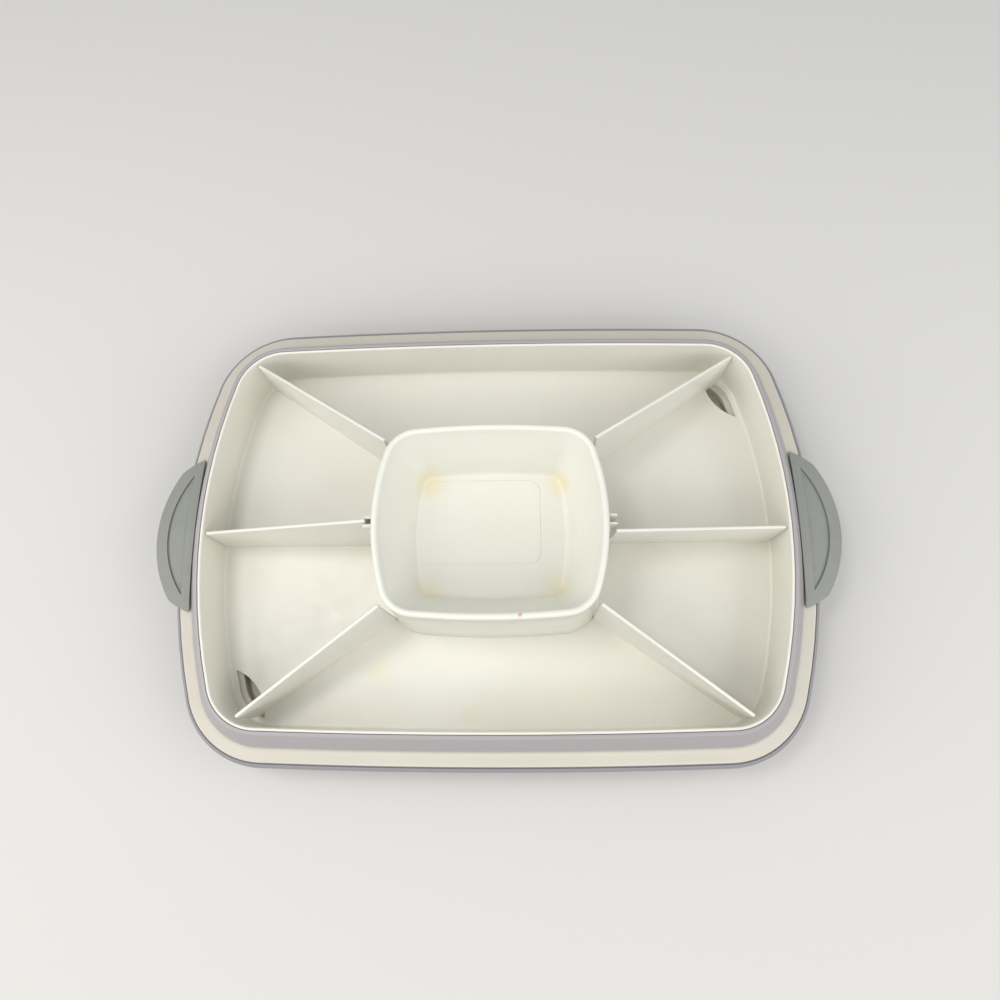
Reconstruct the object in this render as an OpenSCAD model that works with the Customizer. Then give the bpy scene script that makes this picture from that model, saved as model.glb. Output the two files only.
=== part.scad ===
// Chip and dip server, millimetres. Origin: bottom centre of the base. +X right, +Y back, +Z up.
// A double-walled base tray carries a lift-out food tray with six thin dividers round a loose dip cup.
// Outlines are [half length, half width, bow of the ends, bow of the sides, corner radius]: four shallow
// arcs joined by round corners. Each wall is such an outline drawn in by one distance at its foot and
// another at its top, so that it can lean.

/* [Base] */
// half of the flange's length, without the handles
half_l = 195; // [165:1:235]
// half of the flange's width
half_w = 137.3; // [120:0.1:165]
// how far the short ends bow outwards
end_bow = 27.8; // [15:0.1:32]
// how far the long sides bow outwards
side_bow = 4.94; // [3:0.01:8]
// corner radius of the flange
corner_r = 48; // [42:1:56]
// height of the flange's top above the table
flange_h = 38; // [32:1:48]
// height of the raised ridge above the flange
ridge_h = 16.6; // [12:0.1:22]
// width of the flat flange
flange_w = 4.3; // [3:0.1:8]
// thickness of the base's two shells
shell_t = 2; // [1.6:0.1:3]

/* [Food tray] */
// depth from the ridge's top to the food tray's floor
tray_depth = 37.6; // [30:0.1:45]
// wall and floor thickness of the food tray
tray_t = 1.8; // [1.4:0.1:2.6]
// gap between the food tray and the base, all round
tray_gap = 0.8; // [0.5:0.1:1.5]
// radius of the half-moon finger openings
opening_r = 30.5; // [24:0.5:33]

/* [Dividers] */
// thickness of the dividers
divider_t = 1.9; // [1.4:0.1:2.6]
// how far the corner dividers run from the X direction, degrees
divider_turn = 35; // [28:1:42]
// how far the compartments' centre lies towards the front
layout_front = 2.5; // [0:0.1:4]
// how far the right middle divider's loose inner end leans forwards at the top
lean = 7.5; // [6.6:0.1:9]

/* [Dip cup] */
// half of the cup rim's length
cup_l = 68; // [58:0.5:76]
// half of the cup rim's width
cup_w = 57.5; // [50:0.5:64]
// height of the cup above the food tray's floor
cup_h = 65; // [50:1:75]
// depth of the cup's bowl
bowl_depth = 42; // [25:1:48]
// how far the cup's skirt flares out towards its foot
cup_flare = 3.6; // [2:0.1:6]

/* [Handles] */
// length of a handle along the short end
handle_l = 105; // [80:1:120]
// how far a handle reaches out past the flange
handle_out = 18.5; // [14:0.5:24]

/* [Hidden] */
$fn = 256;
gap = 0.3;                                   // between pieces that come apart
ridge_top = flange_h + ridge_h;
ridge_in = 16;                               // the ridge's upright inner face, in from the flange's edge
slope_in = flange_w + 0.8;                   // where the ridge's slope meets the flange
seam_out = 1.4;                              // the inner shell's edge, out past the flange's flat
bead_out = 4.6;                              // the outer shell's edge, out past the flange's flat
bead_r = 2.4;
flange_t = 2.4;
skirt_h = 9;                                 // from the flange's top down to the skirt's lower edge
wall_in = ridge_in + tray_gap;               // the food tray's outer face
cavity_in = wall_in + tray_t;                // the food tray's inner face
tray_floor = ridge_top - tray_depth;
ledge_z = tray_floor - tray_t - gap;
ledge_w = 10;
well_in = ridge_in + ledge_w;                // the wall of the cooling space below the food tray
well_floor = 8;
body_foot_in = ridge_in - 2 * shell_t - 0.8; // the outer shell's side, low down
body_in = body_foot_in - 1.8;                // and just below the flange
foot_r = 5;
floor_r = 3;                                 // fillet at the food tray's floor
opening_x = half_l - 22.6;
opening_y = half_w - 26.2;
cup_foot = tray_floor + gap;
cup_top = tray_floor + cup_h;
rim_w = 4.2;                                 // thickness of the cup's rolled rim
rim_h = 4.6;
cup_t = 1.8;
cup_corner = 21;
cup_end_bow = 12.5;
cup_side_bow = 5;
bowl_in = 20;                                // the bowl's floor edge, in from the rim's outer edge
bowl_z = cup_top - bowl_depth;
tab_t = 1.3;
tab_out = 6;                                 // how far the guide tabs stand out past the rim
tab_h = 17;
tab_gap = divider_t + 1.8;                   // clear width between a pair of tabs
foot_out = cup_flare - 0.4;                  // how far the cup's foot stands out past its rim
end_clear = 0.6;                             // between a divider's inner end and the cup's foot
wall_clear = 0.8;                            // between a divider's outer end and the wall
front_clear = 2.7;                           // the same at the two front corners
divider_top = ridge_top - 2;                 // a divider's top at its outer end
divider_peak = cup_top - rim_h + 1.5;        // and at its inner end, beside the cup's rim
grip_thick = 13;

tray_line = [half_l, half_w, end_bow, side_bow, corner_r];
cup_line = [cup_l, cup_w, cup_end_bow, cup_side_bow, cup_corner];

function arc_r(half, bow) = (half * half + bow * bow) / (2 * bow);
function side_r(o) = arc_r(o[0], o[3]);
function end_r(o) = arc_r(o[1], o[2]);
function side_c(o) = [0, o[1] - side_r(o)];
function end_c(o) = [o[0] - end_r(o), 0];
// centre of the round corner that touches both bowed sides
function corner_c(o) =
    let (a = side_r(o) - o[4], b = end_r(o) - o[4], d = end_c(o) - side_c(o), n = norm(d))
    let (along = (a * a - b * b + n * n) / (2 * n), across = sqrt(a * a - along * along))
    side_c(o) + along * d / n + across * [d[1], -d[0]] / n;
function side_turn(o) = let (v = corner_c(o) - side_c(o)) atan2(v[1], v[0]);
function end_turn(o) = let (v = corner_c(o) - end_c(o)) atan2(v[1], v[0]);
function turned(angle) = [cos(angle), sin(angle)];
// x of the bowed end at a given y
function end_x(o, inset, y) = end_c(o)[0] + sqrt(pow(end_r(o) - inset, 2) - y * y);
// distance from point p along direction u to a circle round c with radius r
function reach(p, u, c, r) = let (w = p - c, b = w * u) -b + sqrt(b * b - w * w + r * r);

// the same to the tray's outline, drawn in by inset
function wall_reach(p, u, inset) =
    let (o = tray_line, c = corner_c(o))
    let (hit = min(reach(p, u, side_c(o), side_r(o) - inset), reach(p, u, end_c(o), end_r(o) - inset)))
    let (v = p + hit * u - c, turn = atan2(v[1], v[0]))
    turn > end_turn(o) && turn < side_turn(o) ? reach(p, u, c, o[4] - inset) : hit;

module quarters() {
    for (x = [0, 1], y = [0, 1]) mirror([x, 0, 0]) mirror([0, y, 0]) children();
}

// solid with the outline's shape, drawn in by low_in at low_z and by high_in at high_z
module tub(o, low_in, low_z, high_in, high_z) {
    h = high_z - low_z;
    c = corner_c(o);
    translate([0, 0, low_z]) difference() {
        intersection() {
            translate(side_c(o)) cylinder(h = h, r1 = side_r(o) - low_in, r2 = side_r(o) - high_in);
            translate(-side_c(o)) cylinder(h = h, r1 = side_r(o) - low_in, r2 = side_r(o) - high_in);
            translate(end_c(o)) cylinder(h = h, r1 = end_r(o) - low_in, r2 = end_r(o) - high_in);
            translate(-end_c(o)) cylinder(h = h, r1 = end_r(o) - low_in, r2 = end_r(o) - high_in);
        }
        // round off each corner
        quarters() translate(c) difference() {
            translate([0, 0, -0.5]) linear_extrude(h + 1)
                polygon([[0, 0], 90 * turned(end_turn(o) + 1.5), 120 * turned(45), 90 * turned(side_turn(o) - 1.5)]);
            cylinder(h = h, r1 = o[4] - low_in, r2 = o[4] - high_in);
        }
    }
}

// inner shell: flange, ridge, upright wall, ledge and the floor of the cooling space
module base_liner() {
    o = tray_line;
    under = flange_h - flange_t;
    color("#ded9cb") difference() {
        union() {
            tub(o, -seam_out, under, -seam_out, flange_h - seam_out);
            tub(o, -seam_out, flange_h - seam_out, 0, flange_h);
            tub(o, slope_in, flange_h, ridge_in - 0.7, ridge_top);
            tub(o, ridge_in - shell_t, ledge_z - shell_t, ridge_in - shell_t, under);
            tub(o, well_in - shell_t, well_floor - shell_t, well_in - shell_t, ledge_z - shell_t);
        }
        tub(o, ridge_in, ledge_z, ridge_in, ridge_top + 1);
        tub(o, well_in, well_floor, well_in, ledge_z + 1);
        // hollow below the ridge's slope
        difference() {
            tub(o, slope_in + 0.8, under - 1, ridge_in - shell_t, ridge_top - 5.5);
            tub(o, ridge_in - shell_t, under - 2, ridge_in - shell_t, ridge_top);
        }
    }
}

// outer shell: bead round the flange, side and bottom
module base_shell() {
    o = tray_line;
    top = flange_h - flange_t;
    color("#c9c6c8") difference() {
        union() {
            tub(o, -bead_out, flange_h - skirt_h, -bead_out, top - bead_r);
            tub(o, -bead_out, top - bead_r, bead_r - bead_out, top);
            tub(o, body_foot_in, foot_r, body_in, flange_h - skirt_h + 1);
            tub(o, body_foot_in + 1.5, 1.5, body_foot_in, foot_r);
            tub(o, body_foot_in + foot_r, 0, body_foot_in + 1.5, 1.5);
        }
        tub(o, body_foot_in + shell_t + 1.6, shell_t, body_foot_in + shell_t, foot_r);
        tub(o, body_foot_in + shell_t, foot_r, body_in + shell_t, flange_h - skirt_h + 1);
        tub(o, body_in + shell_t, flange_h - skirt_h + 1, body_in + shell_t, top + 1);
        // hollow behind the skirt
        difference() {
            tub(o, shell_t - bead_out, flange_h - skirt_h - 1, shell_t - bead_out, top - shell_t);
            tub(o, body_foot_in, foot_r, body_in, flange_h - skirt_h + 1);
            tub(o, body_in, flange_h - skirt_h + 1, body_in, top);
        }
    }
}

// soft grip over one short end: a crescent with a domed top that follows the flange and the ridge's slope
module handle() {
    reach_x = half_l + handle_out;
    half = handle_l / 2;
    sag = reach_x - end_x(tray_line, 0, half) - 0.8;
    r = arc_r(half, sag);
    inner_x = end_x(tray_line, flange_w, half) - 0.7;
    dome_r = 265;
    recess_r = 300;
    difference() {
        intersection() {
            translate([reach_x - r, 0, flange_h - grip_thick]) cylinder(h = 3 * grip_thick, r = r);
            translate([inner_x, -half, 0]) cube([100, handle_l, 100]);
            translate([reach_x - 91.5, 0, flange_h - 250]) sphere(dome_r);
            translate([reach_x - 33, 0, flange_h + 60]) sphere(76);
        }
        // the rim that the grip is fitted over
        translate(end_c(tray_line)) rotate([0, 0, -end_turn(tray_line)])
            rotate_extrude(angle = 2 * end_turn(tray_line)) translate([end_r(tray_line), 0]) mirror([1, 0])
                polygon([[-bead_out, 0], [-bead_out, flange_h - flange_t - bead_r],
                         [bead_r - bead_out, flange_h - flange_t], [-seam_out, flange_h - flange_t],
                         [-seam_out, flange_h - seam_out], [0, flange_h], [slope_in, flange_h],
                         [ridge_in - 0.7, ridge_top], [ridge_in + 20, ridge_top], [ridge_in + 20, 0]]);
        // shallow thumb recess
        intersection() {
            translate([reach_x - 8 - 62, 0, 0]) cylinder(h = 100, r = 62);
            translate([inner_x + 6, -40, 0]) cube([100, 80, 100]);
            difference() {
                translate([0, -50, flange_h - 5]) cube([300, 100, 60]);
                translate([reach_x - 91.5, 0, flange_h - 250]) sphere(dome_r - 1.2);
            }
        }
    }
}

module handle_left() {
    color("#919690") mirror([1, 0, 0]) handle();
}

module handle_right() {
    color("#919690") handle();
}

// lift-out insert: upright walls, rounded floor edge and two half-moon finger openings
module food_tray() {
    o = tray_line;
    color("#dedbd0") difference() {
        union() {
            tub(o, wall_in, tray_floor - tray_t, wall_in, ridge_top - 0.5);
            tub(o, wall_in, ridge_top - 0.5, wall_in + 0.5, ridge_top);
        }
        tub(o, cavity_in, tray_floor + floor_r, cavity_in, ridge_top + 1);
        tub(o, cavity_in + 0.9, tray_floor + 0.9, cavity_in, tray_floor + floor_r);
        tub(o, cavity_in + floor_r, tray_floor, cavity_in + 0.9, tray_floor + 0.9);
        intersection() {
            tub(o, cavity_in + floor_r, tray_floor - 3 * tray_t, cavity_in + floor_r, tray_floor + tray_t);
            for (s = [-1, 1]) translate([s * opening_x, s * opening_y, tray_floor - 3 * tray_t])
                cylinder(h = 6 * tray_t, r = opening_r);
        }
    }
}

// upright plate: runs from inner to outer along X, its top falls from the cup to the wall
module plate(inner, outer) {
    rotate([90, 0, 0]) translate([0, 0, -divider_t / 2]) linear_extrude(divider_t)
        polygon([[inner, tray_floor], [outer - floor_r, tray_floor], [outer, tray_floor + floor_r + 1],
                 [outer, divider_top], [inner, divider_peak]]);
}

// x_side is -1 left or 1 right, y_side is -1 front or 1 back
module corner_divider(x_side, y_side) {
    c = corner_c(cup_line);
    start = [c[0], c[1] - y_side * layout_front];
    clear = y_side > 0 ? wall_clear : front_clear;
    outer = wall_reach(start, turned(divider_turn), cavity_in + clear);
    inner = cup_corner + foot_out + end_clear;
    color("#e2e0d6") mirror([x_side < 0 ? 1 : 0, 0, 0]) mirror([0, y_side < 0 ? 1 : 0, 0])
        translate([start[0], start[1], 0]) rotate([0, 0, divider_turn])
            plate(inner, outer);
}

module divider_back_left() {
    corner_divider(-1, 1);
}

module divider_back_right() {
    corner_divider(1, 1);
}

module divider_front_left() {
    corner_divider(-1, -1);
}

module divider_front_right() {
    corner_divider(1, -1);
}

mid_inner = cup_l + foot_out + end_clear;
mid_outer = end_x(tray_line, cavity_in + wall_clear, layout_front + lean);

// this one stands in the cup's guide
module divider_middle_left() {
    color("#e2e0d6") translate([0, -layout_front, 0]) mirror([1, 0, 0])
        plate(mid_inner, mid_outer);
}

// this one has slipped out of the guide, so it twists forwards from its foot
module divider_middle_right() {
    steps = 12;
    // one upright slice at t from the wall (0) to the cup (1): foot and top, front and back
    function slice(t) =
        let (x = mid_outer + t * (mid_inner - mid_outer), y = -layout_front, side = divider_t / 2)
        let (foot_z = tray_floor + (t == 0 ? floor_r : 0))
        let (top_z = divider_top + t * (divider_peak - divider_top))
        [[x, y - side, foot_z], [x, y + side, foot_z],
         [x, y + side - lean * t, top_z], [x, y - side - lean * t, top_z]];
    points = [for (i = [0:steps]) each slice(i / steps)];
    walls = [for (i = [0:steps - 1], k = [0:3])
        let (a = 4 * i + k, b = 4 * i + (k + 1) % 4)
        each [[a, a + 4, b], [b, a + 4, b + 4]]];
    last = 4 * steps;
    color("#e2e0d6") polyhedron(points, concat(walls,
        [[0, 1, 2], [0, 2, 3], [last, last + 2, last + 1], [last, last + 3, last + 2]]));
}

// loose cup: rolled rim, tapering bowl, flaring skirt, a pair of guide tabs on each short side
module dip_cup() {
    o = cup_line;
    skirt_top = cup_top - rim_h;
    skirt_slope = cup_flare / (skirt_top - cup_foot);
    tab_z = skirt_top - tab_h;
    color("#e4e3da") translate([0, -layout_front, 0]) difference() {
        union() {
            tub(o, 0, skirt_top, 0, cup_top - 1.6);
            tub(o, 0, cup_top - 1.6, 1.4, cup_top);
            tub(o, -foot_out, cup_foot, 0.4, skirt_top);
            // guide tabs
            for (x = [0, 1], s = [-1, 1]) mirror([x, 0, 0])
                translate([0, s * (tab_gap + tab_t) / 2, 0]) rotate([90, 0, 0])
                    translate([0, 0, -tab_t / 2]) linear_extrude(tab_t)
                        polygon([[cup_l - 3, skirt_top + 1], [cup_l + 1, skirt_top + 1],
                                 [cup_l + tab_out, skirt_top - 1.5], [cup_l + tab_out, tab_z],
                                 [cup_l - 1.6 + skirt_slope * tab_h, tab_z]]);
        }
        // bowl
        tub(o, bowl_in - 2.4, bowl_z + 3.4, rim_w, cup_top - 1.6);
        tub(o, bowl_in, bowl_z, bowl_in - 2.4, bowl_z + 3.4);
        tub(o, rim_w, cup_top - 1.6, rim_w - 2.4, cup_top + 0.8);
        // space between the bowl and the skirt, open at the foot
        difference() {
            tub(o, cup_t - foot_out - skirt_slope, cup_foot - 1, cup_t + 0.4, skirt_top);
            tub(o, bowl_in - 4.3, bowl_z + 2.4, rim_w - cup_t, skirt_top);
            tub(o, bowl_in - 2.2, bowl_z - cup_t, bowl_in - 4.3, bowl_z + 2.4);
        }
    }
}

base_shell();
base_liner();
handle_left();
handle_right();
food_tray();
divider_back_left();
divider_back_right();
divider_front_left();
divider_front_right();
divider_middle_left();
divider_middle_right();
dip_cup();
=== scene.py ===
import math
import bpy
import bmesh
from bpy.props import FloatProperty, FloatVectorProperty, PointerProperty
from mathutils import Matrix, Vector
from mathutils.geometry import intersect_sphere_sphere_2d


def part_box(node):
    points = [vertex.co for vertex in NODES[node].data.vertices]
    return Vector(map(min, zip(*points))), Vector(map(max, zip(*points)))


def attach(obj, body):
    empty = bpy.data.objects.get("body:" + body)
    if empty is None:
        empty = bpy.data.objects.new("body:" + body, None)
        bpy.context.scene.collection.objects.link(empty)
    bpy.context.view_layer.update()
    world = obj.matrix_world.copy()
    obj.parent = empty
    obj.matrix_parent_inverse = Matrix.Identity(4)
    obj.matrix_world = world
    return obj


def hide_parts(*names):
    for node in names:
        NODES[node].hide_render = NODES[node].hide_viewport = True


bl_info = {
    "name": "Chip and dip server",
    "version": (1, 0, 0),
    "blender": (4, 5, 0),
    "location": "View3D > Sidebar > Server",
    "description": "Builds the visible pieces of a divided serving tray with a dip cup",
    "category": "Add Mesh",
}

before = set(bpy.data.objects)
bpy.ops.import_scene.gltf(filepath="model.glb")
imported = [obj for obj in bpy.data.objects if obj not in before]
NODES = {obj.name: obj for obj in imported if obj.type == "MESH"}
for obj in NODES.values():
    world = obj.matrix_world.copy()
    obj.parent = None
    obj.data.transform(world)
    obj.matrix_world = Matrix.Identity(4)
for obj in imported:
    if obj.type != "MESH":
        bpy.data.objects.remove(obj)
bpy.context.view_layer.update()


def mm_box(node):
    """Lowest and highest corner of a CAD node, in millimetres."""
    low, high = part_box(node)
    return low * 1000, high * 1000


LINER_LOW, LINER_HIGH = mm_box("base_liner")
SHELL_HIGH = mm_box("base_shell")[1]
TRAY_LOW, TRAY_HIGH = mm_box("food_tray")
CUP_LOW, CUP_HIGH = mm_box("dip_cup")

SEAM_OUT = 1.4                                  # liner's edge, out past the flat of the flange
BEAD_OUT = 4.6                                  # shell's edge, out past the flat of the flange
FLANGE_THICK = 2.4
OPENING_IN_X = 22.6                             # a finger opening's centre, in from the flange's end
OPENING_IN_Y = 26.2                             # and in from its side
FLANGE_TOP = SHELL_HIGH.z + FLANGE_THICK
CREST = LINER_HIGH.z
TRAY_FLOOR = mm_box("divider_back_right")[0].z
CUP_MID_Y = (CUP_LOW.y + CUP_HIGH.y) / 2


def linear(hex_colour):
    """sRGB hex colour to linear red, green, blue."""
    parts = [int(hex_colour[i:i + 2], 16) / 255 for i in (1, 3, 5)]
    return [c / 12.92 if c <= 0.04045 else ((c + 0.055) / 1.055) ** 2.4 for c in parts]


# ---------------------------------------------------------------- outlines and profiles

def arc_radius(half, bow):
    return (half * half + bow * bow) / (2 * bow)


def outline(half_l, half_w, end_bow, side_bow, corner, mid_y=0.0):
    """Eight arcs round a bowed rectangle: (centre, radius, start angle, turn, steps), anticlockwise."""
    side_r, end_r = arc_radius(half_l, side_bow), arc_radius(half_w, end_bow)
    side, end = Vector((0, half_w - side_r)), Vector((half_l - end_r, 0))
    apart = end - side
    n = apart.length
    a, b = side_r - corner, end_r - corner
    along = (a * a - b * b + n * n) / (2 * n)
    across = math.sqrt(a * a - along * along)
    mid = side + apart * (along / n) + Vector((apart.y, -apart.x)) * (across / n)
    side_turn = math.atan2(mid.y - side.y, mid.x - side.x)
    end_turn = math.atan2(mid.y, mid.x - end.x)
    bend = side_turn - end_turn
    pi = math.pi
    arcs = [
        ((end.x, 0), end_r, -end_turn, 2 * end_turn, 12),
        ((mid.x, mid.y), corner, end_turn, bend, 16),
        ((0, side.y), side_r, side_turn, pi - 2 * side_turn, 16),
        ((-mid.x, mid.y), corner, pi - side_turn, bend, 16),
        ((-end.x, 0), end_r, pi - end_turn, 2 * end_turn, 12),
        ((-mid.x, -mid.y), corner, pi + end_turn, bend, 16),
        ((0, -side.y), side_r, pi + side_turn, pi - 2 * side_turn, 16),
        ((mid.x, -mid.y), corner, 2 * pi - side_turn, bend, 16),
    ]
    return [((x, y + mid_y), r, start, turn, steps) for (x, y), r, start, turn, steps in arcs]


def rounded(points, closed=False):
    """Profile points (inset, height, radius) with each radius turned into a short arc."""
    out = []
    count = len(points)
    for i, (x, z, r) in enumerate(points):
        here = Vector((x, z))
        if r <= 0 or (not closed and i in (0, count - 1)):
            out.append(here)
            continue
        before = Vector(points[i - 1][:2]) - here
        after = Vector(points[(i + 1) % count][:2]) - here
        angle = before.angle(after)
        cut = min(r / math.tan(angle / 2), 0.49 * before.length, 0.49 * after.length)
        r = cut * math.tan(angle / 2)
        start = here + before.normalized() * cut
        finish = here + after.normalized() * cut
        centre = here + (before.normalized() + after.normalized()).normalized() * (r / math.sin(angle / 2))
        steps = 5
        for k in range(steps + 1):
            mix = start.lerp(finish, k / steps) - centre
            out.append(centre + mix.normalized() * r)
    return out


def sweep(bm, arcs, points, closed=False):
    """Spins a profile of (inset, height) points through every arc of an outline."""
    (x, y), radius, start, _, _ = arcs[0]
    verts = [bm.verts.new((x + (radius - p[0]) * math.cos(start), y + (radius - p[0]) * math.sin(start), p[1]))
             for p in points]
    pairs = list(zip(verts, verts[1:])) + ([(verts[-1], verts[0])] if closed else [])
    geom = verts + [bm.edges.new(pair) for pair in pairs]
    for (x, y), _, _, turn, steps in arcs:
        last = bmesh.ops.spin(bm, geom=geom, cent=(x, y, 0), axis=(0, 0, 1), dvec=(0, 0, 0), angle=turn,
                              steps=steps, use_merge=False, use_normal_flip=False, use_duplicate=False)
        geom = last["geom_last"]
    bmesh.ops.remove_doubles(bm, verts=bm.verts[:], dist=0.02)


def rim_edges(bm, height):
    """Open edges that lie at one height."""
    return [e for e in bm.edges if e.is_boundary and all(abs(v.co.z - height) < 0.01 for v in e.verts)]


def as_object(bm, name, body, material):
    """Finishes a bmesh in millimetres as a named piece on a body."""
    bmesh.ops.recalc_face_normals(bm, faces=bm.faces[:])
    bmesh.ops.scale(bm, vec=(0.001, 0.001, 0.001), verts=bm.verts[:])
    mesh = bpy.data.meshes.new(name)
    bm.to_mesh(mesh)
    bm.free()
    obj = bpy.data.objects.new(name, mesh)
    bpy.context.scene.collection.objects.link(obj)
    mesh.materials.append(material)
    mesh.shade_smooth()
    mesh.set_sharp_from_angle(angle=math.radians(38))
    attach(obj, body)
    return obj


# ---------------------------------------------------------------- materials

def add(tree, kind, links=None, values=None, **settings):
    """Adds a node, sets its settings and input values, and links inputs from other sockets."""
    node = tree.nodes.new(kind)
    for key, value in settings.items():
        setattr(node, key, value)
    for key, value in (values or {}).items():
        node.inputs[key].default_value = value
    for key, socket in (links or {}).items():
        tree.links.new(socket, node.inputs[key])
    return node


def per_metre(size_mm):
    """Noise scale whose features are about this many millimetres across."""
    return 1000 / size_mm


def moulded(name, base, shade, rough, patch_mm=40, grain_mm=0.8, grain=0.25, swirl=0.05, **shader):
    """A moulded plastic: cloudy colour, uneven gloss, fine grain and faint scuffs."""
    mat = bpy.data.materials.new(name)
    mat.use_nodes = True
    tree = mat.node_tree
    tree.nodes.clear()
    where = add(tree, "ShaderNodeTexCoord").outputs["Object"]
    cloud = add(tree, "ShaderNodeTexNoise", {"Vector": where},
                {"Scale": per_metre(patch_mm), "Detail": 4.0, "Roughness": 0.55})
    colour = add(tree, "ShaderNodeMix", {"Factor": cloud.outputs["Fac"]}, data_type="RGBA")
    colour.inputs["A"].default_value = (*base, 1)
    colour.inputs["B"].default_value = (*shade, 1)
    gloss = add(tree, "ShaderNodeTexNoise", {"Vector": where},
                {"Scale": per_metre(9), "Detail": 5.0, "Roughness": 0.6})
    # long thin scuffs, drawn wider than real so that they show
    stretch = add(tree, "ShaderNodeMapping", {"Vector": where},
                  {"Rotation": (0, 0, 0.6), "Scale": (1, 14, 14)})
    scuff = add(tree, "ShaderNodeTexNoise", {"Vector": stretch.outputs["Vector"]},
                {"Scale": per_metre(22), "Detail": 3.0, "Roughness": 0.7})
    scuffs = add(tree, "ShaderNodeMapRange", {"Value": scuff.outputs["Fac"]},
                 {"From Min": 0.55, "From Max": 0.72, "To Min": 0.0, "To Max": 1.0})
    uneven = add(tree, "ShaderNodeMapRange", {"Value": gloss.outputs["Fac"]},
                 {"From Min": 0.3, "From Max": 0.7, "To Min": rough - swirl, "To Max": rough + swirl})
    rougher = add(tree, "ShaderNodeMath", {0: scuffs.outputs["Result"], 2: uneven.outputs["Result"]},
                  {1: 0.03}, operation="MULTIPLY_ADD")
    grains = add(tree, "ShaderNodeTexNoise", {"Vector": where},
                 {"Scale": per_metre(grain_mm), "Detail": 2.0, "Roughness": 0.5})
    waves = add(tree, "ShaderNodeTexNoise", {"Vector": where},
                {"Scale": per_metre(16), "Detail": 1.0, "Roughness": 0.4})
    low = add(tree, "ShaderNodeBump", {"Height": waves.outputs["Fac"]}, {"Strength": 0.1, "Distance": 0.0004})
    bump = add(tree, "ShaderNodeBump", {"Height": grains.outputs["Fac"], "Normal": low.outputs["Normal"]},
               {"Strength": grain, "Distance": 0.00008})
    surface = add(tree, "ShaderNodeBsdfPrincipled",
                  {"Base Color": colour.outputs["Result"], "Roughness": rougher.outputs["Value"],
                   "Normal": bump.outputs["Normal"]}, {"IOR": 1.5, **shader})
    out = add(tree, "ShaderNodeOutputMaterial", {"Surface": surface.outputs["BSDF"]})
    out.name = "output"
    return mat, tree, where, colour, surface


def spot(tree, where, centre_mm, radius_mm, soft=0.5):
    """A round mask about a point, ragged at its edge."""
    centre = [c / 1000 for c in centre_mm]
    gap = add(tree, "ShaderNodeVectorMath", {0: where}, {1: centre}, operation="DISTANCE")
    rag = add(tree, "ShaderNodeTexNoise", {"Vector": where}, {"Scale": per_metre(radius_mm * 0.8), "Detail": 4.0})
    wobble = add(tree, "ShaderNodeMath", {0: rag.outputs["Fac"], 2: gap.outputs["Value"]},
                 {1: radius_mm / 1000 * 0.7}, operation="MULTIPLY_ADD")
    reach = radius_mm / 1000 * 1.35
    mask = add(tree, "ShaderNodeMapRange", {"Value": wobble.outputs["Value"]},
               {"From Min": reach, "From Max": reach * (1 - soft), "To Min": 0.0, "To Max": 1.0})
    return mask.outputs["Result"]


def stain_and_shade(tree, colour_socket, mask, hex_colour, strength):
    """Mixes a colour over the plastic where the mask is: real stains, and painted shade in the cup's bowl."""
    part = add(tree, "ShaderNodeMath", {0: mask}, {1: strength}, operation="MULTIPLY")
    mix = add(tree, "ShaderNodeMix", {"Factor": part.outputs["Value"], "A": colour_socket}, data_type="RGBA")
    mix.inputs["B"].default_value = (*linear(hex_colour), 1)
    return mix.outputs["Result"]


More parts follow.
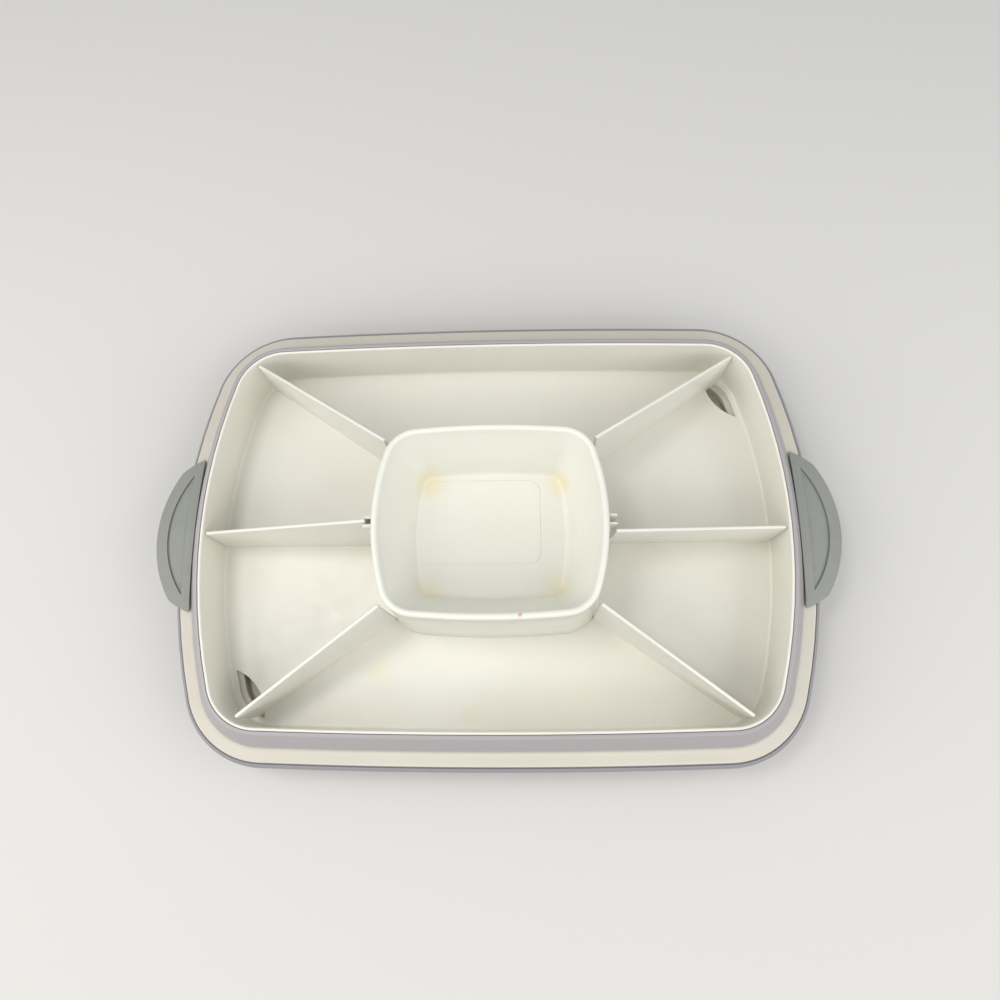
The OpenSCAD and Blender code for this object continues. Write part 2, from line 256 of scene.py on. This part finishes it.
def make_materials(looks):
    """Every finish of the server, by material slot."""
    mats = {}
    # Moulded polypropylene: warm cream with a soft, broad shine. The ridge's slope is painted a darker purple grey
    # as painted shade, fading to cream at its foot.
    mat, tree, where, colour, surface = moulded("Cream polypropylene liner", looks.liner, linear("#c3bdb0"),
                                                0.36, grain_mm=0.9, grain=0.3)
    height = add(tree, "ShaderNodeSeparateXYZ", {"Vector": where}).outputs["Z"]
    # Painted shade: above the flange the liner turns darker purple grey where the ridge's slope stands in shade.
    slope_shade = add(tree, "ShaderNodeMapRange", {"Value": height},
                  {"From Min": (FLANGE_TOP + 0.8) / 1000, "From Max": (FLANGE_TOP + 3.2) / 1000})
    slope = add(tree, "ShaderNodeMix", {"Factor": slope_shade.outputs["Result"], "A": colour.outputs["Result"]},
                data_type="RGBA")
    slope.inputs["B"].default_value = (*looks.slope, 1)
    tree.links.new(slope.outputs["Result"], surface.inputs["Base Color"])
    mats["liner"] = mat
    # The shell's dark purple grey is painted shade on its outward-facing bead and skirt.
    mats["shell"] = moulded("Polypropylene shell painted in shade", looks.shell, linear("#8d898e"), 0.42,
                            grain_mm=0.9, grain=0.35)[0]
    # Thermoplastic elastomer: dull, slightly powdery, with a grain that scatters the light.
    mats["grip"] = moulded("Grey green elastomer grip", looks.grip, linear("#83857f"), 0.62,
                           patch_mm=25, grain_mm=0.7, grain=0.7, swirl=0.08)[0]
    # Styrene food tray: smoother and glossier than the liner, with cloudy wash marks.
    mat, tree, where, colour, surface = moulded("Warm white styrene food tray", looks.tray,
                                                linear("#dbd8cc"), 0.36, patch_mm=60, grain=0.12)
    result = colour.outputs["Result"]
    for centre, size, tint, strength in (((-71, -83, TRAY_FLOOR), 10, "#e6dab4", 0.3),
                                         ((-15, -109, TRAY_FLOOR), 7, "#e4d0b0", 0.28),
                                         ((52, -98, TRAY_FLOOR), 8, "#e6dfc2", 0.22)):
        result = stain_and_shade(tree, result, spot(tree, where, centre, size), tint, strength)
    tree.links.new(result, surface.inputs["Base Color"])
    mats["tray"] = mat
    mats["divider"] = moulded("Warm white styrene divider", looks.tray, linear("#d8d6cb"), 0.36,
                              patch_mm=30, grain=0.12)[0]
    # Polypropylene cup: bright rim, a bowl painted darker towards its floor as painted shade, and the yellow that
    # sauces leave in the corners of its floor.
    mat, tree, where, colour, surface = moulded("White polypropylene cup", looks.cup, linear("#dcdcd0"), 0.36,
                                                patch_mm=35, grain=0.12)
    result = colour.outputs["Result"]
    bowl_z = CUP_HIGH.z - 42
    # Painted shade: grey laid over the bowl, strongest at its floor and fading out towards the rim.
    bowl_shade = spot(tree, where, (0, CUP_MID_Y, bowl_z + 8), 56, 0.8)
    result = stain_and_shade(tree, result, bowl_shade, "#cfcebf", 0.55)
    for x, y, size, strength in ((-40, 31, 13, 0.5), (43, 30, 12, 0.5), (-39, -38, 12, 0.38), (41, -38, 13, 0.45)):
        result = stain_and_shade(tree, result, spot(tree, where, (x, y, bowl_z + 1), size, 0.9), "#dcc56a", strength)
    result = stain_and_shade(tree, result, spot(tree, where, (17, CUP_LOW.y + 6, CUP_HIGH.z), 1.6), "#c98a45", 0.8)
    tree.links.new(result, surface.inputs["Base Color"])
    mats["cup"] = mat
    return mats


MATERIALS = {}


# ---------------------------------------------------------------- settings

def colour_prop(name, description, hex_colour):
    return FloatVectorProperty(name=name, description=description, subtype="COLOR", size=3, min=0, max=1,
                               default=linear(hex_colour))


def size_prop(name, description, default):
    return FloatProperty(name=name, description=description, default=default, subtype="DISTANCE", unit="LENGTH")


class ServerLooks(bpy.types.PropertyGroup):
    liner: colour_prop("Liner", "Colour of the inner shell", "#cbc6b8")
    # The ridge's colour is painted shade laid on the ridge's slope.
    slope: colour_prop("Ridge", "Colour of the ridge's slope", "#a29d9e")
    # The shell's colour is painted shade on its bead and skirt.
    shell: colour_prop("Shell", "Colour of the outer shell", "#8d8a8f")
    grip: colour_prop("Grip", "Colour of the soft grips", "#8f918a")
    tray: colour_prop("Food tray", "Colour of the food tray and its dividers", "#e6e4db")
    cup: colour_prop("Cup", "Colour of the dip cup", "#e4e3da")
    floor: colour_prop("Floor", "Colour of the studio floor", "#cfcdc9")


class ServerSizes(bpy.types.PropertyGroup):
    """Sizes are in scene metres."""
    end_bow: size_prop("End bow", "How far the short ends bow outwards", 0.0278)
    side_bow: size_prop("Side bow", "How far the long sides bow outwards", 0.00494)
    corner: size_prop("Corner radius", "Radius of the flange's corners", 0.048)
    ridge_in: size_prop("Ridge", "From the flange's edge in to the ridge's upright face", 0.016)
    floor_fillet: size_prop("Floor fillet", "Rounding where the food tray's wall meets its floor", 0.003)
    opening_r: size_prop("Finger opening", "Radius of the half-moon finger openings", 0.0305)
    plate_round: size_prop("Divider edge", "Rounding of the dividers' edges", 0.0005)
    grip_round: size_prop("Grip edge", "Rounding of the grips' edges", 0.0008)
    cup_corner: size_prop("Cup corner", "Radius of the cup's rim corners", 0.021)
    bowl_corner: size_prop("Bowl corner", "Radius of the bowl's floor corners", 0.009)
    bowl_depth: size_prop("Bowl depth", "Depth of the cup's bowl", 0.042)


def mm(value):
    return value * 1000


def tray_arcs(sizes):
    """The flange's outline."""
    half_l, half_w = LINER_HIGH.x - SEAM_OUT, LINER_HIGH.y - SEAM_OUT
    return outline(half_l, half_w, mm(sizes.end_bow), mm(sizes.side_bow), mm(sizes.corner))


# ---------------------------------------------------------------- pieces

class SERVER_OT_base(bpy.types.Operator):
    """Builds the outer shell and the inner liner with its ridge"""
    bl_idname = "server.base"
    bl_label = "Base"

    def execute(self, context):
        sizes = context.scene.server_sizes
        arcs = tray_arcs(sizes)
        ridge_in = mm(sizes.ridge_in)
        under = SHELL_HIGH.z
        ledge = TRAY_LOW.z - 0.3
        well = LINER_LOW.z
        wall = 2.0
        face = ridge_in + 0.5
        # liner: floor of the cooling space, ledge, upright wall, crest, slope, flange and its turned-down edge
        profile = rounded([
            (ridge_in + 14, well + wall, 0), (ridge_in + 10, well + wall, 1.5), (ridge_in + 10, ledge, 1),
            (face, ledge, 1.5), (face, CREST, 0.35), (ridge_in - 1.7, CREST, 1.6),
            (6.4, FLANGE_TOP + 0.9, 4), (4.6, FLANGE_TOP, 1.2), (-0.2, FLANGE_TOP - 0.5, 0.9),
            (-SEAM_OUT, FLANGE_TOP - 0.9, 0.5), (-SEAM_OUT, under + 0.05, 0.2), (6.6, under + 0.05, 1),
            (ridge_in - 2.2, CREST - 5.5, 0.8), (ridge_in - wall, ledge - wall, 0.8),
            (ridge_in + 8, ledge - wall, 0.8), (ridge_in + 8, well, 1), (ridge_in + 14, well, 0)])
        bm = bmesh.new()
        sweep(bm, arcs, profile)
        for height in (well + wall, well):
            bmesh.ops.edgeloop_fill(bm, edges=rim_edges(bm, height))
        liner = as_object(bm, "liner", "base", MATERIALS["liner"])
        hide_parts("base_liner")
        # shell: bead with a fine groove beside the liner's edge, skirt, side and flat bottom
        foot = ridge_in - 2 * wall - 0.8
        drop = FLANGE_TOP - 9
        profile = rounded([
            (foot + 12, wall, 0), (foot + wall, wall, 4), (foot + wall, 8, 3), (foot - 1.8 + wall, under, 0.4),
            (-1.5, under, 0.2), (-1.7, under - 0.8, 0.2), (-2.1, under - 0.8, 0.2), (-2.3, under, 0.4),
            (-BEAD_OUT + 1.6, under, 1.6), (-BEAD_OUT, under - 1.8, 1.8), (-BEAD_OUT, drop, 0.8),
            (-BEAD_OUT + wall, drop, 0.8), (-BEAD_OUT + wall, under - wall, 1.2),
            (foot - 1.8, under - wall, 1.5), (foot, 6, 5), (foot + 4.5, 0, 4), (foot + 12, 0, 0)])
        bm = bmesh.new()
        sweep(bm, arcs, profile)
        for height in (wall, 0):
            bmesh.ops.edgeloop_fill(bm, edges=rim_edges(bm, height))
        shell = as_object(bm, "shell", "base", MATERIALS["shell"])
        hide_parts("base_shell")
        return {"FINISHED"}


def half_moon(bm, arcs, side, z, inset, radius):
    """Edges of one finger opening: along the short end, round the corner and back along a circle."""
    (end_x, _), end_r, _, _, _ = arcs[0]
    (mid_x, mid_y), corner, end_turn, _, _ = arcs[1]
    end, mid = Vector((end_x, 0)), Vector((mid_x, mid_y))
    hole = Vector((LINER_HIGH.x - SEAM_OUT - OPENING_IN_X, LINER_HIGH.y - SEAM_OUT - OPENING_IN_Y))
    low = min(intersect_sphere_sphere_2d(hole, radius, end, end_r - inset), key=lambda p: p.y)
    high = max(intersect_sphere_sphere_2d(hole, radius, mid, corner - inset), key=lambda p: p.y)

    def turn_of(point, centre):
        return math.atan2(point.y - centre.y, point.x - centre.x)

    back = (turn_of(low, hole) - turn_of(high, hole)) % (2 * math.pi)
    before = set(bm.edges)
    geom = [bm.verts.new((side * low.x, side * low.y, z))]
    for centre, turn, steps in ((end, end_turn - turn_of(low, end), 6), (mid, turn_of(high, mid) - end_turn, 14),
                                (hole, back, 24)):
        last = bmesh.ops.spin(bm, geom=geom, cent=(side * centre.x, side * centre.y, 0), axis=(0, 0, 1),
                              dvec=(0, 0, 0), angle=turn, steps=steps, use_merge=False, use_normal_flip=False,
                              use_duplicate=False)
        geom = [g for g in last["geom_last"] if isinstance(g, bmesh.types.BMVert)]
    made = {v for e in bm.edges if e not in before for v in e.verts}
    bmesh.ops.remove_doubles(bm, verts=list(made), dist=0.02)
    return [e for e in bm.edges if e not in before]


class SERVER_OT_food_tray(bpy.types.Operator):
    """Builds the lift-out food tray with its two half-moon finger openings"""
    bl_idname = "server.food_tray"
    bl_label = "Food tray"

    def execute(self, context):
        sizes = context.scene.server_sizes
        arcs = tray_arcs(sizes)
        outer = mm(sizes.ridge_in) + 0.7
        thick = TRAY_FLOOR - TRAY_LOW.z
        inner = outer + thick
        fillet = mm(sizes.floor_fillet)
        edge = inner + fillet + 0.4
        profile = rounded([
            (edge, TRAY_FLOOR, 0), (inner, TRAY_FLOOR, fillet), (inner, TRAY_HIGH.z, thick * 0.49),
            (outer, TRAY_HIGH.z, thick * 0.49), (outer, TRAY_LOW.z, 2.4), (edge, TRAY_LOW.z, 0)])
        bm = bmesh.new()
        sweep(bm, arcs, profile)
        heights = (TRAY_FLOOR, TRAY_LOW.z)
        rims = {z: rim_edges(bm, z) for z in heights}
        for side in (1, -1):
            loops = {z: half_moon(bm, arcs, side, z, edge + 0.6, mm(sizes.opening_r)) for z in heights}
            bmesh.ops.bridge_loops(bm, edges=loops[heights[0]] + loops[heights[1]])
            for z in heights:
                rims[z] += loops[z]
        for z in heights:
            bmesh.ops.triangle_fill(bm, use_beauty=True, use_dissolve=False, edges=rims[z], normal=(0, 0, 1))
        tray = as_object(bm, "food_tray_skin", "food_tray_body", MATERIALS["tray"])
        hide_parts("food_tray")
        return {"FINISHED"}


class SERVER_OT_dividers(bpy.types.Operator):
    """Gives each divider rounded edges"""
    bl_idname = "server.dividers"
    bl_label = "Dividers"

    def execute(self, context):
        soft = context.scene.server_sizes.plate_round
        for node in sorted(n for n in NODES if n.startswith("divider_")):
            bm = bmesh.new()
            bm.from_mesh(NODES[node].data)
            bmesh.ops.remove_doubles(bm, verts=bm.verts[:], dist=1e-6)
            bmesh.ops.dissolve_limit(bm, angle_limit=math.radians(0.6), use_dissolve_boundaries=False,
                                     verts=bm.verts[:], edges=bm.edges[:], delimit={"NORMAL"})
            sharp = [e for e in bm.edges if e.is_manifold and e.calc_face_angle() > math.radians(40)
                     and min(v.co.z for v in e.verts) > TRAY_FLOOR / 1000 + 0.0005]
            bmesh.ops.bevel(bm, geom=sharp, offset=soft, offset_type="OFFSET", segments=3, profile=0.5,
                            affect="EDGES", clamp_overlap=True, material=-1)
            bmesh.ops.scale(bm, vec=(1000, 1000, 1000), verts=bm.verts[:])
            plate = as_object(bm, node.replace("divider", "plate"), "food_tray_body",
                              MATERIALS["divider"])
            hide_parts(node)
        return {"FINISHED"}


class SERVER_OT_cup(bpy.types.Operator):
    """Builds the loose dip cup: rolled rim, tapering bowl, flared skirt, guide tabs and floor panel"""
    bl_idname = "server.cup"
    bl_label = "Dip cup"

    def execute(self, context):
        sizes = context.scene.server_sizes
        top, foot = CUP_HIGH.z, CUP_LOW.z
        foot_out = 3.2                           # the foot, out past the rim
        half_l, half_w = 68.0, 57.5              # the rim's outer edge
        fillet = 4.4                             # between the bowl's floor and its wall
        bowl_z = top - mm(sizes.bowl_depth)
        rim = (half_l, half_w, 12.5, 5.0, mm(sizes.cup_corner))
        floor = (48.5, 40.5, 5.5, 3.0, mm(sizes.bowl_corner))
        rolled = 2.1
        bm = bmesh.new()

        def ring(share, inset, z):
            """One closed ring, share of the way from the bowl's floor outline to the rim's."""
            shape = [a + (b - a) * share for a, b in zip(floor, rim)]
            before = set(bm.edges)
            arcs = outline(*shape, mid_y=CUP_MID_Y)
            (x, y), radius, start, _, _ = arcs[0]
            away = radius - inset
            geom = [bm.verts.new((x + away * math.cos(start), y + away * math.sin(start), z))]
            for (x, y), _, _, turn, steps in arcs:
                last = bmesh.ops.spin(bm, geom=geom, cent=(x, y, 0), axis=(0, 0, 1), dvec=(0, 0, 0), angle=turn,
                                      steps=steps, use_merge=False, use_normal_flip=False, use_duplicate=False)
                geom = [g for g in last["geom_last"] if isinstance(g, bmesh.types.BMVert)]
            edges = [e for e in bm.edges if e not in before]
            bmesh.ops.remove_doubles(bm, verts=list({v for e in edges for v in e.verts}), dist=0.02)
            return [e for e in bm.edges if e not in before]

        rows = []
        for k in range(6):                       # rounding between the bowl's floor and its wall
            turn = math.radians(90 - 72 * k / 5)
            rows.append((0.0, fillet - fillet * math.cos(turn), bowl_z + fillet - fillet * math.sin(turn)))
        inner_top = top - rolled
        for k in range(1, 8):
            share = k / 8
            rows.append((share, share * 2 * rolled, bowl_z + fillet + share * (inner_top - bowl_z - fillet)))
        for k in range(9):                       # rolled rim, from inside to outside
            turn = math.pi * k / 8
            rows.append((1.0, rolled + rolled * math.cos(turn), inner_top + rolled * math.sin(turn)))
        rows += [(1.0, 0.0, top - 4.0), (1.0, 0.25, top - 4.6), (1.0, 0.5, top - 5.0)]
        for k in range(1, 5):
            share = k / 4
            rows.append((1.0, 0.5 - share * (foot_out + 0.5), top - 5.0 + share * (foot - top + 5.0 + 0.6)))
        rows += [(1.0, -foot_out + 0.4, foot), (1.0, -foot_out + 1.4, foot), (1.0, -foot_out + 1.8, foot + 0.6)]
        rows += [(1.0, 2.3, top - 5.4), (1.0, 4.0, top - 5.4), (0.0, -1.6, bowl_z + 2), (0.0, 0.6, bowl_z - 1.8)]
        rings = [ring(*row) for row in rows]
        for low, high in zip(rings, rings[1:]):
            bmesh.ops.bridge_loops(bm, edges=low + high)
        bmesh.ops.edgeloop_fill(bm, edges=rings[0])
        bmesh.ops.edgeloop_fill(bm, edges=rings[-1])
        # guide tabs: a pair of thin upright plates on each short side
        tab_low, tab_high = top - 21.6, top - 4.4
        for side in (-1, 1):
            for y in (-2.5, 2.5):
                made = bmesh.ops.create_cube(bm, size=1)["verts"]
                for v in made:
                    outer_end = v.co.x > 0
                    z = tab_high if v.co.z > 0 else tab_low
                    if outer_end and v.co.z > 0:
                        z -= 1.2
                    x = half_l + 5 if outer_end else half_l - 2.2
                    v.co = Vector((side * x, CUP_MID_Y + y + v.co.y * 1.1, z))
                edges = list({e for v in made for e in v.link_edges})
                bmesh.ops.bevel(bm, geom=edges, offset=0.4, offset_type="OFFSET", segments=2, profile=0.5,
                                affect="EDGES", clamp_overlap=True, material=-1)
        cup = as_object(bm, "cup", "cup_body", MATERIALS["cup"])
        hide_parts("dip_cup")
        # plain raised border on the bowl's floor
        arcs = outline(38, 27, 0.4, 0.3, 7, mid_y=5.7)
        arcs = [((x - 8.4, y), r, start, turn, steps) for (x, y), r, start, turn, steps in arcs]
        bm = bmesh.new()
        sweep(bm, arcs, rounded([(-0.2, bowl_z - 0.4, 0), (0.1, bowl_z + 0.35, 0.3), (1.0, bowl_z + 0.35, 0.3),
                                 (1.3, bowl_z - 0.4, 0)]), closed=True)
        as_object(bm, "cup_floor_border", "cup_body", MATERIALS["cup"])
        return {"FINISHED"}


class SERVER_OT_grips(bpy.types.Operator):
    """Rounds the edges of the two soft grips"""
    bl_idname = "server.grips"
    bl_label = "Grips"

    def execute(self, context):
        soft = context.scene.server_sizes.grip_round
        for node in ("handle_left", "handle_right"):
            bm = bmesh.new()
            bm.from_mesh(NODES[node].data)
            bmesh.ops.remove_doubles(bm, verts=bm.verts[:], dist=2e-5)
            bmesh.ops.dissolve_limit(bm, angle_limit=math.radians(0.6), use_dissolve_boundaries=False,
                                     verts=bm.verts[:], edges=bm.edges[:], delimit={"NORMAL"})
            sharp = [e for e in bm.edges if e.is_manifold and e.calc_face_angle() > math.radians(30)
                     and e.is_convex]
            bmesh.ops.bevel(bm, geom=sharp, offset=soft, offset_type="OFFSET", segments=3, profile=0.5,
                            affect="EDGES", clamp_overlap=True, material=-1)
            bmesh.ops.scale(bm, vec=(1000, 1000, 1000), verts=bm.verts[:])
            grip = as_object(bm, node.replace("handle", "grip"), "base", MATERIALS["grip"])
            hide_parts(node)
        return {"FINISHED"}


class SERVER_OT_stage(bpy.types.Operator):
    """Makes the pale floor, the soft lights and the camera"""
    bl_idname = "server.stage"
    bl_label = "Stage"

    def execute(self, context):
        scene = context.scene
        looks = scene.server_looks
        bm = bmesh.new()
        bmesh.ops.create_grid(bm, x_segments=1, y_segments=1, size=3)
        mesh = bpy.data.meshes.new("studio_floor")
        bm.to_mesh(mesh)
        bm.free()
        floor = bpy.data.objects.new("studio_floor", mesh)
        floor.location.z = -0.0005
        scene.collection.objects.link(floor)
        mat = bpy.data.materials.new("Matt studio paper")
        mat.use_nodes = True
        shader = mat.node_tree.nodes["Principled BSDF"]
        shader.inputs["Base Color"].default_value = (*looks.floor, 1)
        shader.inputs["Roughness"].default_value = 0.9
        mesh.materials.append(mat)
        world = bpy.data.worlds.new("studio")
        world.use_nodes = True
        world.node_tree.nodes["Background"].inputs["Color"].default_value = (0.93, 0.96, 1.0, 1)
        world.node_tree.nodes["Background"].inputs["Strength"].default_value = 0.5
        scene.world = world

        def lamp(name, place, aim, size, power, colour):
            light = bpy.data.lights.new(name, "AREA")
            light.shape = "RECTANGLE"
            light.size, light.size_y = size
            light.energy = power
            light.color = colour
            obj = bpy.data.objects.new(name, light)
            obj.location = place
            obj.rotation_euler = (Vector(aim) - Vector(place)).to_track_quat("-Z", "Y").to_euler()
            scene.collection.objects.link(obj)

        lamp("left", (-0.95, -0.25, 0.8), (0, 0, 0.03), (1.2, 0.9), 7, (1.0, 0.985, 0.96))
        lamp("right", (0.95, -0.3, 0.8), (0, 0, 0.03), (1.2, 0.9), 7, (0.98, 0.99, 1.0))
        lamp("front", (0, -1.0, 0.95), (0, 0, 0.03), (1.2, 0.6), 4.5, (1.0, 0.985, 0.96))
        lamp("overhead", (-0.41, 0.1, 1.2), (0, 0, 0.03), (0.3, 0.3), 3.2, (1.0, 0.99, 0.97))

        camera = bpy.data.objects.new("camera", bpy.data.cameras.new("camera"))
        camera.data.sensor_width = 36
        camera.data.lens = 27.1
        camera.location = (0.02272, -0.10999, 0.49349)
        camera.rotation_euler = [math.radians(a) for a in (15.961, 2.328, -0.074)]
        scene.collection.objects.link(camera)
        scene.camera = camera
        scene.view_settings.view_transform = "Standard"
        return {"FINISHED"}


class SERVER_PT_panel(bpy.types.Panel):
    """Buttons and settings of the server"""
    bl_label = "Chip and dip server"
    bl_idname = "SERVER_PT_panel"
    bl_space_type = "VIEW_3D"
    bl_region_type = "UI"
    bl_category = "Server"

    def draw(self, context):
        layout = self.layout
        for operator in OPERATORS:
            layout.operator(operator.bl_idname)
        for group in (context.scene.server_sizes, context.scene.server_looks):
            for name in group.__annotations__:
                layout.prop(group, name)


OPERATORS = (SERVER_OT_base, SERVER_OT_food_tray, SERVER_OT_dividers, SERVER_OT_cup, SERVER_OT_grips,
             SERVER_OT_stage)
CLASSES = (ServerLooks, ServerSizes, *OPERATORS, SERVER_PT_panel)


def register():
    for cls in CLASSES:
        bpy.utils.register_class(cls)
    bpy.types.Scene.server_looks = PointerProperty(type=ServerLooks)
    bpy.types.Scene.server_sizes = PointerProperty(type=ServerSizes)


def unregister():
    del bpy.types.Scene.server_looks
    del bpy.types.Scene.server_sizes
    for cls in reversed(CLASSES):
        bpy.utils.unregister_class(cls)


def main():
    register()
    MATERIALS.update(make_materials(bpy.context.scene.server_looks))
    for step in ("base", "food_tray", "dividers", "cup", "grips", "stage"):
        getattr(bpy.ops.server, step)()


if __name__ == "__main__":
    main()
